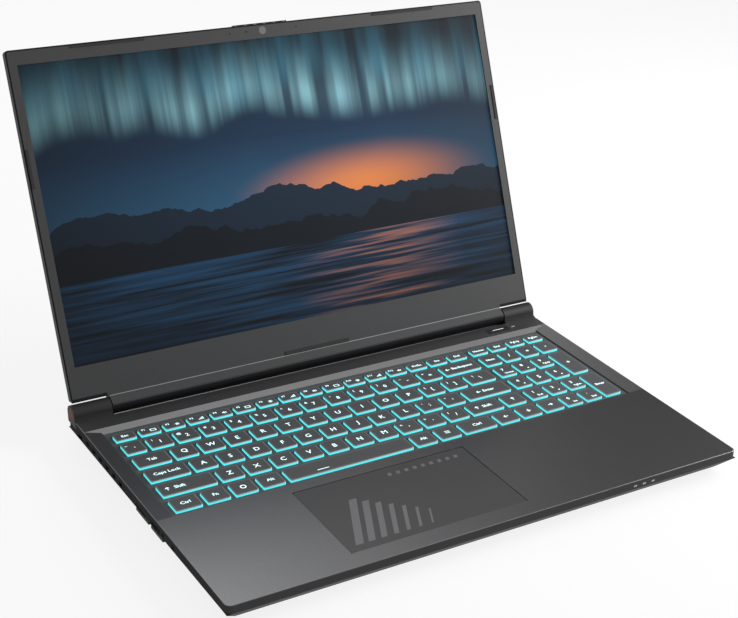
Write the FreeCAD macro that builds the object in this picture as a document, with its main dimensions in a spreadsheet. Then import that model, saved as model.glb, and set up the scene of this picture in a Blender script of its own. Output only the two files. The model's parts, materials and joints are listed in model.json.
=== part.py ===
# A 15.6 inch notebook computer, opened to a working angle.
# X runs along the hinge, Y from the front edge to the back, Z up from the desk.
import FreeCAD
import Part
import Sketcher
import math
import os
import re

SIZES = {
    # Base shell
    "case_width": 360.0,
    "case_depth": 238.0,
    "deck_height": 15.6,
    "foot_height": 1.2,
    "front_wall": 5.5,
    "rear_wall": 8.7,
    "wall": 1.5,
    "corner_radius": 4.0,
    "edge_break": 0.6,
    "belly_inset": 9.0,
    "rear_step": 13.5,
    # Keyboard tray
    "side_rail": 11.0,
    "tray_setback": 31.4,
    "tray_depth": 2.2,
    "band_run": 4.4,
    "rail_drop": 1.5,
    "frame_margin": 3.0,
    "frame_side": 0.3,
    "frame_wall": 1.5,
    "frame_skin": 0.8,
    "frame_drop": 2.8,
    "backplate": 0.6,
    # Keys
    "side_margin": 4.0,
    "front_margin": 4.9,
    "back_margin": 5.5,
    "row_pitch": 18.5,
    "key_depth": 14.2,
    "key_gap": 3.0,
    "function_depth": 9.0,
    "function_gap": 2.7,
    "function_space": 4.0,
    "key_rise": 1.6,
    "key_skirt": 1.0,
    "key_taper": 0.35,
    "key_clearance": 0.25,
    # Touchpad and power button
    "pad_left": -96.7,
    "pad_front": 13.2,
    "pad_back_gap": 8.9,
    "pad_width": 121.3,
    "pad_thickness": 1.2,
    "pad_recess": 0.2,
    "pad_clearance": 0.3,
    "pad_radius": 1.5,
    "button_width": 19.0,
    "button_depth": 6.6,
    "button_thickness": 1.3,
    "button_clearance": 0.2,
    "button_inset": 12.5,
    "button_setback": 6.5,
    # Hinge
    "hinge_back": 5.34,
    "hinge_rise": 2.34,
    "tower_width": 26.0,
    "tower_radius": 6.0,
    "tower_play": 0.5,
    "tower_step": 0.5,
    "barrel_radius": 5.6,
    "barrel_play": 1.14,
    "pin_radius": 2.5,
    "pin_play": 0.05,
    "pin_reach": 16.0,
    "arm_length": 24.0,
    # Lid
    "lid_angle": 67.5,
    "lid_inset": 1.5,
    "lid_setback": 0.26,
    "lid_bottom": 6.9,
    "lid_front": 1.45,
    "lid_thickness": 6.2,
    "lid_edge": 1.2,
    "lid_corner": 2.2,
    "lid_rim": 1.0,
    "rim_drop": 0.2,
    "bezel_thickness": 1.2,
    "bezel_side": 6.4,
    "bezel_top": 9.67,
    "screen_bottom": 29.13,
    "lip_half": 20.0,
    "lip_rise": 1.0,
    "panel_margin": 3.0,
    "camera_x": -0.5,
    "camera_rise": 5.2,
    "camera_radius": 2.6,
    "bumper_rise": 0.5,
    # Sockets, vents and inner pieces
    "jack_setback": 153.0,
    "usb_setback": 148.0,
    "network_setback": 127.0,
    "vent_setback": 92.0,
    "fan_inset": 60.0,
    "fan_setback": 60.0,
    "socket_headroom": 1.0,
    "jack_headroom": 2.2,
    "jack_radius": 1.8,
    "jack_spacing": 14.0,
    "jack_length": 9.0,
    "usb_width": 13.2,
    "usb_height": 5.4,
    "network_width": 14.6,
    "network_height": 3.8,
    "shell": 0.6,
    "socket_length": 9.0,
    "vent_pitch": 11.0,
    "vent_width": 6.0,
    "vent_height": 3.0,
    "board_height": 4.2,
    "board_thickness": 1.2,
    "fan_size": 62.0,
    "fan_wall": 0.8,
    "fan_headroom": 1.3,
    "rotor_radius": 24.0,
    "hub_radius": 11.0,
    "rotor_play": 0.5,
    "blade_thickness": 0.9,
    "screw_head": 2.4,
    "screw_depth": 1.0,
}

# Where each key row starts and how wide its blocks are, counted in key pitches from the left edge
NUMBER_ROW, UPPER_ROW, HOME_ROW, LOWER_ROW = 0.896, 1.374, 1.621, 2.124
MAIN_BLOCK, NUMPAD_START, NUMPAD_STEP, KEYBOARD_UNITS = 14.489, 14.764, 0.882, 18.126
FUNCTION_KEYS = 16
BLADES = 17
VENTS = 6
FINS = 12
GRILLE_SLOTS = 8

doc = FreeCAD.newDocument("notebook")
sheet = doc.addObject("Spreadsheet::Sheet", "size")


def keyboard_sizes(size):
    """Key places, worked out from the tray that the keys fill."""
    half = size["case_width"] / 2 - size["side_rail"]
    left = size["side_margin"] - half
    pitch = 2 * (half - size["side_margin"]) / KEYBOARD_UNITS
    back = size["case_depth"] - size["tray_setback"]
    function_front = back - size["back_margin"] - size["function_depth"]
    front = function_front - size["function_space"] - size["key_depth"] - 4 * size["row_pitch"]
    function_pitch = (MAIN_BLOCK * pitch + size["function_gap"]) / FUNCTION_KEYS
    return {
        "tray_half": half, "tray_back": back, "tray_front": front - size["front_margin"],
        "keys_left": left, "keys_right": left + MAIN_BLOCK * pitch, "keys_front": front,
        "key_pitch": pitch, "number_start": left + NUMBER_ROW * pitch,
        "upper_start": left + UPPER_ROW * pitch,
        "home_start": left + HOME_ROW * pitch, "lower_start": left + LOWER_ROW * pitch,
        "numpad_left": left + NUMPAD_START * pitch, "numpad_pitch": NUMPAD_STEP * pitch,
        "function_front": function_front, "function_pitch": function_pitch,
        "function_width": function_pitch - size["function_gap"],
        "pad_depth": front - size["front_margin"] - size["pad_front"] - size["pad_back_gap"],
    }


def shell_sizes(size):
    """Places of the hinge, lid, sockets and fans, worked out from the case."""
    hinge_y = size["case_depth"] - size["hinge_back"]
    inner_top = size["deck_height"] - size["tray_depth"]
    lid_half = size["case_width"] / 2 - size["lid_inset"]
    lid_top = hinge_y - size["lid_setback"]
    tower_inner = size["case_width"] / 2 - size["tower_width"]
    rear_edge = size["case_depth"] - size["rear_step"]
    floor = size["foot_height"] + size["wall"]
    return {
        "hinge_y": hinge_y, "rear_edge": rear_edge, "tower_inner": tower_inner,
        "notch_floor": size["deck_height"] + size["hinge_rise"] - size["barrel_radius"] - size["barrel_play"],
        "parting_front": size["deck_height"] - size["front_wall"],
        "parting_rear": size["deck_height"] - size["rear_wall"],
        "button_x": tower_inner - size["button_inset"], "button_y": rear_edge - size["button_setback"],
        "lid_half": lid_half, "lid_top": lid_top, "screen_half": lid_half - size["bezel_side"],
        "screen_height": lid_top - size["bezel_top"] - size["screen_bottom"],
        "jack_first": size["case_depth"] - size["jack_setback"],
        "jack_height": inner_top - size["jack_headroom"],
        "usb_first": size["case_depth"] - size["usb_setback"],
        "network_first": size["case_depth"] - size["network_setback"],
        "socket_floor": inner_top - size["usb_height"] - size["socket_headroom"],
        "vent_first": size["case_depth"] - size["vent_setback"],
        "fan_x": size["case_width"] / 2 - size["fan_inset"],
        "fan_y": size["case_depth"] - size["fan_setback"],
        "fan_height": inner_top - size["frame_drop"] - size["backplate"] - floor - size["fan_headroom"],
    }


def lid_reach(size):
    """Farthest point of the opened lid behind the front edge."""
    lean = math.radians(size["lid_angle"])
    along = (size["lid_top"] + size["lip_rise"]) * math.cos(lean)
    behind = (size["lid_thickness"] - size["lid_front"]) * math.sin(lean)
    return size["hinge_y"] + along + behind


def fill_sheet():
    """One named cell for each driving size and for each place worked out from them."""
    cells = {**SIZES, **keyboard_sizes(SIZES), **shell_sizes(SIZES)}
    cells["front_y"] = -lid_reach(cells) / 2
    for row, (name, amount) in enumerate(cells.items(), start=1):
        sheet.set(f"A{row}", name)
        sheet.set(f"B{row}", str(round(amount, 4)))
        sheet.setAlias(f"B{row}", name)
    doc.recompute()
    return cells


CELLS = fill_sheet()


def bound(text):
    """Turn plain size names into references to the sheet."""
    return re.sub(r"[a-z_]+", lambda word: f"size.{word[0]}" if word[0] in CELLS else word[0], str(text))


def bind(item, **amounts):
    for name, text in amounts.items():
        item.setExpression(name, bound(text))


def place(item, x, y, z):
    for axis, text in zip("xyz", (x, y, z)):
        item.setExpression(f"Placement.Base.{axis}", bound(text))


def box(x, y, z, long, deep, high, name="block"):
    item = doc.addObject("Part::Box", name)
    bind(item, Length=long, Width=deep, Height=high)
    place(item, x, y, z)
    return item


def rod(x, y, z, radius, length, axis="z", name="rod"):
    turns = {"x": FreeCAD.Rotation(0, 90, 0), "y": FreeCAD.Rotation(0, 0, -90), "z": FreeCAD.Rotation()}
    item = doc.addObject("Part::Cylinder", name)
    bind(item, Radius=radius, Height=length)
    item.Placement = FreeCAD.Placement(FreeCAD.Vector(), turns[axis])
    place(item, x, y, z)
    return item


def fuse(*pieces):
    item = doc.addObject("Part::MultiFuse", "joined")
    item.Shapes = list(pieces)
    item.Refine = True
    return item


def group(*pieces):
    item = doc.addObject("Part::Compound", "set")
    item.Links = list(pieces)
    return item


def cut(base, *tools):
    item = doc.addObject("Part::Cut", "cut")
    item.Base = base
    item.Tool = tools[0] if len(tools) == 1 else group(*tools)
    return item


def new_body(name):
    return doc.addObject("PartDesign::Body", name)


def outline(body, role, points, lift="0", tilt="0"):
    """Closed sketch whose corners are bound one by one to sizes."""
    sketch = body.newObject("Sketcher::SketchObject", "profile")
    plane = next(item for item in body.Origin.OriginFeatures if item.Role == role)
    sketch.AttachmentSupport = (plane, [""])
    sketch.MapMode = "FlatFace"
    about_x = FreeCAD.Rotation(FreeCAD.Vector(1, 0, 0), 0)
    sketch.AttachmentOffset = FreeCAD.Placement(FreeCAD.Vector(), about_x)
    sketch.setExpression("AttachmentOffset.Base.z", bound(lift))
    sketch.setExpression("AttachmentOffset.Rotation.Angle", bound(tilt))
    count = len(points)
    start = [FreeCAD.Vector(math.cos(6.28 * i / count), math.sin(6.28 * i / count), 0) for i in range(count)]
    for i in range(count):
        sketch.addGeometry(Part.LineSegment(start[i], start[(i + 1) % count]), False)
    for i in range(count):
        sketch.addConstraint(Sketcher.Constraint("Coincident", i, 2, (i + 1) % count, 1))
    for i, corner in enumerate(points):
        for axis, kind in enumerate(("DistanceX", "DistanceY")):
            index = sketch.addConstraint(Sketcher.Constraint(kind, -1, 1, i, 1, start[i][axis]))
            sketch.setExpression(f"Constraints[{index}]", bound(corner[axis]))
    doc.recompute()
    return sketch


def rectangle(left, front, right, back):
    return [(left, front), (right, front), (right, back), (left, back)]


def pad(body, sketch, length, middle=False):
    item = body.newObject("PartDesign::Pad", "pad")
    item.Profile = sketch
    item.Midplane = middle
    bind(item, Length=length)
    doc.recompute()
    return item


def body_box(body, kind, x, y, z, long, deep, high):
    item = body.newObject(f"PartDesign::{kind}Box", "block")
    bind(item, Length=long, Width=deep, Height=high)
    place(item, x, y, z)
    doc.recompute()
    return item


def body_rod(body, kind, x, y, z, radius, length):
    """Cylinder along X."""
    item = body.newObject(f"PartDesign::{kind}Cylinder", "rod")
    bind(item, Radius=radius, Height=length)
    item.Placement = FreeCAD.Placement(FreeCAD.Vector(), FreeCAD.Rotation(0, 90, 0))
    place(item, x, y, z)
    doc.recompute()
    return item


def round_edges(body, radius, chosen):
    """Fillet the edges of the body's last feature that the test picks."""
    base = body.Tip
    names = [f"Edge{i}" for i, edge in enumerate(base.Shape.Edges, start=1) if chosen(edge)]
    item = body.newObject("PartDesign::Fillet", "fillet")
    item.Base = (base, names)
    bind(item, Radius=radius)
    doc.recompute()


def upright(edge):
    first, last = edge.firstVertex().Point, edge.lastVertex().Point
    return abs(first.x - last.x) < 0.01 and abs(first.y - last.y) < 0.01


def level_at(edge, height):
    return all(abs(spot.Point.z - height) < 0.01 for spot in edge.Vertexes)


NODES = {}


def base_node(name, item):
    """Put a finished piece in the shared frame as part of the base."""
    item.Label = name
    item.setExpression("Placement.Base.y", bound("front_y"))
    NODES[name] = item


def lid_node(name, item):
    """Put a finished piece, drawn flat about the hinge line, at the opened lid's angle."""
    item.Label = name
    item.Placement = FreeCAD.Placement(FreeCAD.Vector(), FreeCAD.Rotation(FreeCAD.Vector(1, 0, 0), 1))
    item.setExpression("Placement.Base.y", bound("front_y + hinge_y"))
    item.setExpression("Placement.Base.z", bound("deck_height + hinge_rise"))
    item.setExpression("Placement.Rotation.Angle", bound("lid_angle"))
    NODES[name] = item


SIDES = (("left", -1), ("right", 1))


def side_span(side, near, width):
    """Left end of a span that lies the given distance from the middle on one side."""
    return f"-({near}) - ({width})" if side < 0 else f"{near}"


# Openings in the side and rear walls, shared by the shells
def wall_opening(side, y, z, width, height):
    return box(side_span(side, "case_width / 2 - 12", "14"), y, z, "14", width, height)


def vent_openings(side):
    return [wall_opening(side, f"vent_first + {i} * vent_pitch", "deck_height - tray_depth - 1 - vent_height",
                         "vent_width", "vent_height") for i in range(VENTS)]


REAR_SOCKETS = {
    "display_socket": ("-60", "15.0", "5.2"),
    "compact_display_socket": ("-34", "8.0", "4.6"),
    "round_edge_socket": ("-14", "9.4", "3.6"),
}
INLET_X = "16"
INLET_RADIUS = "2.8"


def rear_opening(x, width, height):
    return box(x, "case_depth - 12", "notch_floor - wall - 6", width, "14", height)


def shell_openings():
    sides = []
    for side, table in ((-1, LEFT_SOCKETS), (1, RIGHT_SOCKETS)):
        for specs in table.values():
            sides += [wall_opening(side, *spec) for spec in specs]
    jacks = [rod("-case_width / 2 - 1", f"jack_first - {i} * jack_spacing", "jack_height",
                 "jack_radius", "8", "x") for i in range(2)]
    rear = [rear_opening(*spec) for spec in REAR_SOCKETS.values()]
    rear.append(rod(INLET_X, "case_depth - 12", "notch_floor - wall - 3.2", INLET_RADIUS, "14", "y"))
    lock = [wall_opening(-1, "case_depth - 24", "deck_height - 8", "7", "3")]
    return sides + jacks + rear + lock


def side_shell(side, y, z, width, height):
    """Outside of a side socket, behind the wall."""
    start = side_span(side, "case_width / 2 - wall - socket_length", "socket_length")
    return box(start, f"{y} - shell", f"{z} - shell", "socket_length", f"{width} + 2 * shell",
               f"{height} + 2 * shell")


def rear_shell(x, width, height):
    return box(f"{x} - shell", "case_depth - wall - 10", "notch_floor - wall - 6 - shell",
               f"{width} + 2 * shell", "10", f"{height} + 2 * shell")


def inlet_block():
    return box(f"{INLET_X} - 4", "case_depth - wall - 12", "notch_floor - wall - 6.6", "8", "12", "6.6")


LEFT_SOCKETS = {
    "left_data_socket": [("usb_first", "socket_floor", "usb_width", "usb_height")],
    "network_jack": [("network_first", "socket_floor", "network_width", "network_height")],
}
RIGHT_SOCKETS = {
    "right_data_sockets": [(f"(usb_first + {i} * 20)", "socket_floor", "usb_width", "usb_height")
                           for i in range(2)],
    "card_slot": [("(usb_first - 22)", "(socket_floor + 3)", "14", "2.4")],
}


def socket_rooms():
    rooms = [rear_shell(*spec) for spec in REAR_SOCKETS.values()] + [inlet_block()]
    for side, table in ((-1, LEFT_SOCKETS), (1, RIGHT_SOCKETS)):
        for specs in table.values():
            rooms += [side_shell(side, *spec) for spec in specs]
    return rooms


def turned(item, axis, angle):
    item.Placement.Rotation = FreeCAD.Rotation(FreeCAD.Vector(*axis), 1)
    item.setExpression("Placement.Rotation.Angle", bound(angle))
    return item


# Rails beside the keyboard: each slopes down to the keys and meets the band behind them in a mitre
def rail_slope(side):
    run = "(side_rail - edge_break)"
    inner_end = ("tray_half", "deck_height - rail_drop")
    outer_end = (f"-tray_half - {run}", "deck_height")
    start, high = inner_end if side > 0 else outer_end
    above = box(start, "tray_front", high, f"{run} + 1", "tray_back + band_run + 1 - tray_front", "4")
    behind = box(f"{start} - 2", "tray_back", "deck_height - tray_depth", f"{run} + 5", "12", "12")
    return cut(turned(above, (0, -side, 0), f"atan(rail_drop / {run})"),
               turned(behind, (-1, 0, 0), "atan(band_run / tray_depth)"))


# Top case: palm rest, keyboard tray, rear deck and hinge towers
def top_case():
    body = new_body("top_shell")
    profile = outline(body, "YZ_Plane", [
        ("0", "parting_front"), ("case_depth", "parting_rear"),
        ("case_depth", "deck_height"), ("0", "deck_height")])
    pad(body, profile, "case_width", middle=True)
    round_edges(body, "corner_radius", upright)
    round_edges(body, "edge_break", lambda edge: level_at(edge, CELLS["deck_height"]))
    inner = "case_width / 2 - wall"
    body_box(body, "Subtractive", f"-({inner})", "wall", "0", f"2 * ({inner})", "rear_edge - 2 * wall",
             "deck_height - tray_depth")
    body_box(body, "Subtractive", "-case_width", "rear_edge", "notch_floor", "2 * case_width",
             "2 * tower_radius + 8", "deck_height")
    body_box(body, "Subtractive", f"-({inner})", "rear_edge - 2 * wall", "0", f"2 * ({inner})",
             "case_depth - rear_edge + wall", "notch_floor - wall")
    body_box(body, "Subtractive", "-tray_half", "tray_front", "0", "2 * tray_half", "tray_back - tray_front",
             "deck_height + 1")
    band = outline(body, "YZ_Plane", [
        ("tray_back - 1", "deck_height - tray_depth"), ("tray_back", "deck_height - tray_depth"),
        ("tray_back + band_run", "deck_height"), ("tray_back - 1", "deck_height")], lift="0")
    slot = body.newObject("PartDesign::Pocket", "band")
    slot.Profile = band
    slot.Midplane = True
    bind(slot, Length="2 * tray_half")
    doc.recompute()
    body_box(body, "Subtractive", "pad_left", "pad_front", "0", "pad_width", "pad_depth", "deck_height + 1")
    body_box(body, "Subtractive", "button_x - button_width / 2", "button_y - button_depth / 2", "0",
             "button_width", "button_depth", "deck_height + 1")
    openings = shell_openings() + vent_openings(-1) + vent_openings(1) + light_pockets()
    openings += [rail_slope(side) for name, side in SIDES]
    base_node("top_case", cut(body, *openings))


# Hinge covers: moulded caps on the rear corners, bored for the lid's pins
def hinge_cover(side):
    body = new_body("hinge_cap")
    width = "case_width / 2 - tower_inner"
    start = side_span(side, "tower_inner", width)
    profile = outline(body, "YZ_Plane", [
        ("rear_edge", "notch_floor"), ("case_depth", "notch_floor"),
        ("hinge_y + tower_radius", "deck_height + hinge_rise"),
        ("hinge_y - tower_radius", "deck_height + hinge_rise"),
        ("hinge_y - tower_radius - tower_step", "deck_height + tower_step"),
        ("rear_edge", "deck_height")], lift=start)
    pad(body, profile, width)
    axis = ("hinge_y", "deck_height + hinge_rise")
    body_rod(body, "Additive", start, *axis, "tower_radius", width)
    bore = side_span(side, "tower_inner - 1", "pin_reach + 1")
    body_rod(body, "Subtractive", bore, *axis, "pin_radius + pin_play", "pin_reach + 1")
    return body


def hinge_covers():
    base_node("hinge_covers", group(*[hinge_cover(side) for name, side in SIDES]))


LIGHT_XS = ("96", "103", "110")


def light_pockets():
    pockets = [box(x, "0", "deck_height - 4", "2.4", "0.5", "1.2") for x in LIGHT_XS]
    beside = box("button_x + button_inset", "button_y - 0.6", "deck_height - 0.5", "3", "1.2", "0.5")
    return pockets + [beside]


def status_lights():
    base_node("status_lights", group(*light_pockets()))


# Bottom cover: a bevelled tub with grilles, socket collars and standoffs
SCREW_PARTS = (-0.417, -0.139, 0.139, 0.417)
SCREWS = [(f"{part} * case_width", y) for y in ("30", "case_depth - 33") for part in SCREW_PARTS]
STANDOFF_X = "(fan_x - fan_size / 2 - 11)"
STANDOFFS = [(f"{side} * {STANDOFF_X}", f"case_depth - {back}") for side in (-1, 1) for back in (132, 32)]


def tub(body, inset, lift, kind):
    half = f"case_width / 2 - {inset}"
    tilt = "atan((parting_rear - parting_front) / case_depth)"
    low = f"belly_inset + {inset}"
    floor = outline(body, "XY_Plane", rectangle(
        f"-case_width / 2 + {low}", low, f"case_width / 2 - ({low})", f"case_depth - ({low})"), lift=lift)
    rim = outline(body, "XY_Plane", rectangle(
        f"-({half})", inset, half, f"case_depth - {inset}"), lift="parting_front", tilt=tilt)
    item = body.newObject(f"PartDesign::{kind}Loft", "tub")
    item.Profile = floor
    item.Sections = [rim]
    item.Ruled = True
    doc.recompute()


def bottom_cover():
    body = new_body("tub_shell")
    tub(body, "0", "foot_height", "Additive")
    for name, side in SIDES:
        for front, width in (("usb_first", "usb_width"), ("network_first", "network_width")):
            body_box(body, "Additive", side_span(side, "case_width / 2 - 10", "9"), f"{front} - 2",
                     "socket_floor - 2.2", "9", f"{width} + 4", "3")
    body_box(body, "Additive", "-64", "case_depth - 9", "notch_floor - wall - 7.4", "88", "9", "3.4")
    tub(body, "wall", "foot_height + wall", "Subtractive")
    supports = [rod(x, y, "foot_height + wall / 2", "3", "board_height - foot_height - wall / 2")
                for x, y in STANDOFFS]
    grilles = []
    for name, side in SIDES:
        for i in range(GRILLE_SLOTS):
            grilles.append(box(f"{side} * fan_x - 22", f"fan_y - 24 + {i} * 6.2", "0", "44", "2.6", "5"))
    holes = [rod(x, y, "0", "screw_head", "foot_height + screw_depth") for x, y in SCREWS]
    top_room = box("-case_width", "-10", "parting_front", "2 * case_width", "2 * case_depth", "20")
    shell = cut(fuse(body, *supports), *(grilles + holes + shell_openings() + socket_rooms() + [top_room]))
    base_node("bottom_cover", shell)


def case_screws():
    screws = [rod(x, y, "foot_height", "screw_head", "screw_depth") for x, y in SCREWS]
    base_node("case_screws", group(*screws))


def rubber_feet():
    front = [box(f"{side} * 0.32 * case_width - 22", "16", "0", "44", "8", "foot_height")
             for name, side in SIDES]
    rear = box("-0.29 * case_width", "case_depth - 24", "0", "0.58 * case_width", "9", "foot_height")
    base_node("rubber_feet", group(rear, *front))


# Keyboard: every key is one entry (left edge, row, width, rows tall)
KEY_WIDTH = "(key_pitch - key_gap)"
NUMPAD_WIDTH = "(numpad_pitch - key_gap)"


def key_run(start, pitch, count, row, width):
    return [(f"{start} + {i} * {pitch}", row, width, 1) for i in range(count)]


def up_to(start, end, row):
    """One wide key between two edges."""
    return [(start, row, f"{end} - ({start})", 1)]


def key_layout():
    last = "keys_right - " + KEY_WIDTH
    numpad = []
    for row, columns in ((1, (0, 1, 2, 3)), (2, (0, 1, 2)), (3, (0, 1, 2)), (4, (0, 1, 2)), (5, (1, 2))):
        numpad += [(f"numpad_left + {i} * numpad_pitch", row, NUMPAD_WIDTH, 1) for i in columns]
    tall = "numpad_left + 3 * numpad_pitch"
    return {
        "function_row_keys": key_run("keys_left", "function_pitch", 16, 0, "function_width"),
        "navigation_keys": key_run("numpad_left", "numpad_pitch", 4, 0, NUMPAD_WIDTH),
        "grave_key": up_to("keys_left", "number_start - key_gap", 1),
        "number_row_keys": key_run("number_start", "key_pitch", 12, 1, KEY_WIDTH),
        "backspace_key": up_to("number_start + 12 * key_pitch", "keys_right", 1),
        "tab_key": up_to("keys_left", "upper_start - key_gap", 2),
        "upper_letter_keys": key_run("upper_start", "key_pitch", 12, 2, KEY_WIDTH),
        "backslash_key": up_to("upper_start + 12 * key_pitch", "keys_right", 2),
        "caps_key": up_to("keys_left", "home_start - key_gap", 3),
        "home_letter_keys": key_run("home_start", "key_pitch", 11, 3, KEY_WIDTH),
        "enter_key": up_to("home_start + 11 * key_pitch", "keys_right", 3),
        "left_shift_key": up_to("keys_left", "lower_start - key_gap", 4),
        "lower_letter_keys": key_run("lower_start", "key_pitch", 10, 4, KEY_WIDTH),
        "right_shift_key": up_to("lower_start + 10 * key_pitch", last + " - key_gap", 4),
        "left_control_key": up_to("keys_left", "lower_start - key_pitch - key_gap", 5),
        "modifier_keys": key_run("lower_start - key_pitch", "key_pitch", 3, 5, KEY_WIDTH)
        + key_run("lower_start + 7 * key_pitch", "key_pitch", 2, 5, KEY_WIDTH),
        "space_bar": up_to("lower_start + 2 * key_pitch", "lower_start + 7 * key_pitch - key_gap", 5),
        "right_control_key": up_to("lower_start + 9 * key_pitch", last + " - key_pitch - key_gap", 5),
        "arrow_keys": [(last, 4, KEY_WIDTH, 1)]
                      + key_run(last + " - key_pitch", "key_pitch", 3, 5, KEY_WIDTH),
        "numpad_keys": numpad,
        "numpad_plus_key": [(tall, 3, NUMPAD_WIDTH, 2)],
        "numpad_enter_key": [(tall, 5, NUMPAD_WIDTH, 2)],
    }


def key_span(row, rows_tall):
    """Front edge and depth of a key, by its lowest row."""
    if row == 0:
        return "function_front", "function_depth"
    return f"keys_front + {5 - row} * row_pitch", f"key_depth + {rows_tall - 1} * row_pitch"


def keycap(left, row, width, rows_tall):
    front, deep = key_span(row, rows_tall)
    item = doc.addObject("Part::Wedge", "keycap")
    bind(item, Xmin="0", Xmax=width, X2min="key_taper", X2max=f"{width} - key_taper")
    bind(item, Zmin=f"-({deep})", Zmax="0", Z2min=f"-({deep}) + key_taper", Z2max="-key_taper")
    bind(item, Ymin="0", Ymax="key_rise + key_skirt")
    item.Placement = FreeCAD.Placement(FreeCAD.Vector(), FreeCAD.Rotation(FreeCAD.Vector(1, 0, 0), 90))
    place(item, left, front, "deck_height - tray_depth - key_skirt")
    return item


def key_hole(left, row, width, rows_tall):
    front, deep = key_span(row, rows_tall)
    return box(f"{left} - key_clearance", f"{front} - key_clearance", "deck_height - tray_depth - 2",
               f"{width} + 2 * key_clearance", f"{deep} + 2 * key_clearance", "3")


def keyboard():
    holes = []
    for name, keys in key_layout().items():
        base_node(name, group(*[keycap(*key) for key in keys]))
        holes += [key_hole(*key) for key in keys]
    half = "tray_half + frame_side"
    deep = "tray_back - tray_front + 2 * frame_margin"
    plate = box(f"-({half})", "tray_front - frame_margin", "deck_height - tray_depth - frame_drop",
                f"2 * ({half})", deep, "frame_drop")
    hollow = box("-tray_half + frame_wall", "tray_front", "deck_height - tray_depth - frame_drop",
                 "2 * (tray_half - frame_wall)", "tray_back - tray_front", "frame_drop - frame_skin")
    base_node("keyboard_frame", cut(plate, hollow, *holes))
    base_node("keyboard_backplate", group(
        box(f"-({half})", "tray_front - frame_margin", "deck_height - tray_depth - frame_drop - backplate",
            f"2 * ({half})", deep, "backplate")))


def touchpad():
    body = new_body("pad_plate")
    play = "pad_clearance"
    profile = outline(body, "XY_Plane", rectangle(
        f"pad_left + {play}", f"pad_front + {play}", f"pad_left + pad_width - {play}",
        f"pad_front + pad_depth - {play}"), lift="deck_height - pad_recess - pad_thickness")
    pad(body, profile, "pad_thickness")
    round_edges(body, "pad_radius", upright)
    base_node("touchpad", body)


def power_button():
    body = new_body("button_cap")
    half_x = "(button_width / 2 - button_clearance)"
    half_y = "(button_depth / 2 - button_clearance)"
    profile = outline(body, "XY_Plane", rectangle(
        f"button_x - {half_x}", f"button_y - {half_y}", f"button_x + {half_x}", f"button_y + {half_y}"),
        lift="deck_height - button_thickness - 0.1")
    pad(body, profile, "button_thickness")
    round_edges(body, "0.8", upright)
    base_node("power_button", body)


# Sockets: metal shells with a tongue, seated behind their wall openings
def side_socket(side, y, z, width, height):
    start = side_span(side, "case_width / 2 - wall - socket_length", "socket_length")
    room = box(f"{start} + ({side})", y, z, "socket_length", width, height)
    tongue = box(f"{start} + (1 - ({side}))", f"{y} + 1.5", f"{z} + {height} / 2 - 0.7", "socket_length - 2",
                 f"{width} - 3", "0.3 * " + height)
    return fuse(cut(side_shell(side, y, z, width, height), room), tongue)


def sockets():
    for side, table in ((-1, LEFT_SOCKETS), (1, RIGHT_SOCKETS)):
        for name, specs in table.items():
            base_node(name, group(*[side_socket(side, *spec) for spec in specs]))
    jacks = []
    for i in range(2):
        y = f"jack_first - {i} * jack_spacing"
        start = "-case_width / 2 + wall"
        block = box(start, f"{y} - 3.4", "jack_height - 2", "jack_length", "6.8", "4.2")
        jacks.append(cut(block, rod(f"{start} - 1", y, "jack_height", "jack_radius", "jack_length", "x")))
    base_node("audio_jacks", group(*jacks))
    for name, (x, width, height) in REAR_SOCKETS.items():
        back = "case_depth - wall - 10"
        low = "notch_floor - wall - 6"
        room = box(x, f"{back} + 1", low, width, "10", height)
        tongue = box(f"{x} + 1.5", back, f"{low} + {height} / 2 - 0.4", f"{width} - 3", "8", "0.8")
        base_node(name, fuse(cut(rear_shell(x, width, height), room), tongue))
    bore = rod(INLET_X, "case_depth - wall - 11", "notch_floor - wall - 3.2", INLET_RADIUS, "12", "y")
    stem = rod(INLET_X, "case_depth - wall - 12", "notch_floor - wall - 3.2", "0.8", "9", "y")
    base_node("power_inlet", fuse(cut(inlet_block(), bore), stem))


# Cooling: two blowers, fin stacks at the walls, flat heat pipes
FLOOR = "foot_height + wall"


def cooling():
    housings, stacks = [], []
    for name, side in SIDES:
        x, size = f"{side} * fan_x", "fan_size"
        outer = box(f"{x} - {size} / 2", f"fan_y - {size} / 2", FLOOR, size, size, "fan_height")
        room = box(f"{x} - {size} / 2 + fan_wall", f"fan_y - {size} / 2 + fan_wall", f"{FLOOR} + fan_wall",
                   f"{size} - 2 * fan_wall", f"{size} + 2", "fan_height - 2 * fan_wall")
        eye = cut(rod(x, "fan_y", FLOOR, "rotor_radius * 0.8", "fan_height + 1"),
                  rod(x, "fan_y", FLOOR, "hub_radius", "fan_wall"))
        spokes = [box(f"{x} - rotor_radius", "fan_y - 2", FLOOR, "2 * rotor_radius", "4", "fan_wall")]
        housings.append(fuse(cut(outer, room, eye), *spokes))
        low, tall = f"{FLOOR} + fan_wall + rotor_play", "fan_height - 2 * fan_wall - 2 * rotor_play"
        parts = [rod(x, "fan_y", low, "hub_radius", tall)]
        for i in range(BLADES):
            blade = box(x, "fan_y", low, "rotor_radius", "blade_thickness", tall)
            blade.Placement.Rotation = FreeCAD.Rotation(FreeCAD.Vector(0, 0, 1), 360 * i / BLADES)
            parts.append(blade)
        base_node(f"fan_rotor_{name}", fuse(*parts))
        stacks.append(fin_stack(f"{x} - 28", f"fan_y + {size} / 2"))
    base_node("fan_housings", group(*housings))
    base_node("fin_stacks", group(*stacks))
    pipes = [box("-fan_x - 28", f"fan_y + fan_size / 2 + {i} * 7", f"{FLOOR} + fan_height", "2 * fan_x + 56",
                 "6", "1.1") for i in range(2)]
    base_node("heat_pipes", group(*pipes))


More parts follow.
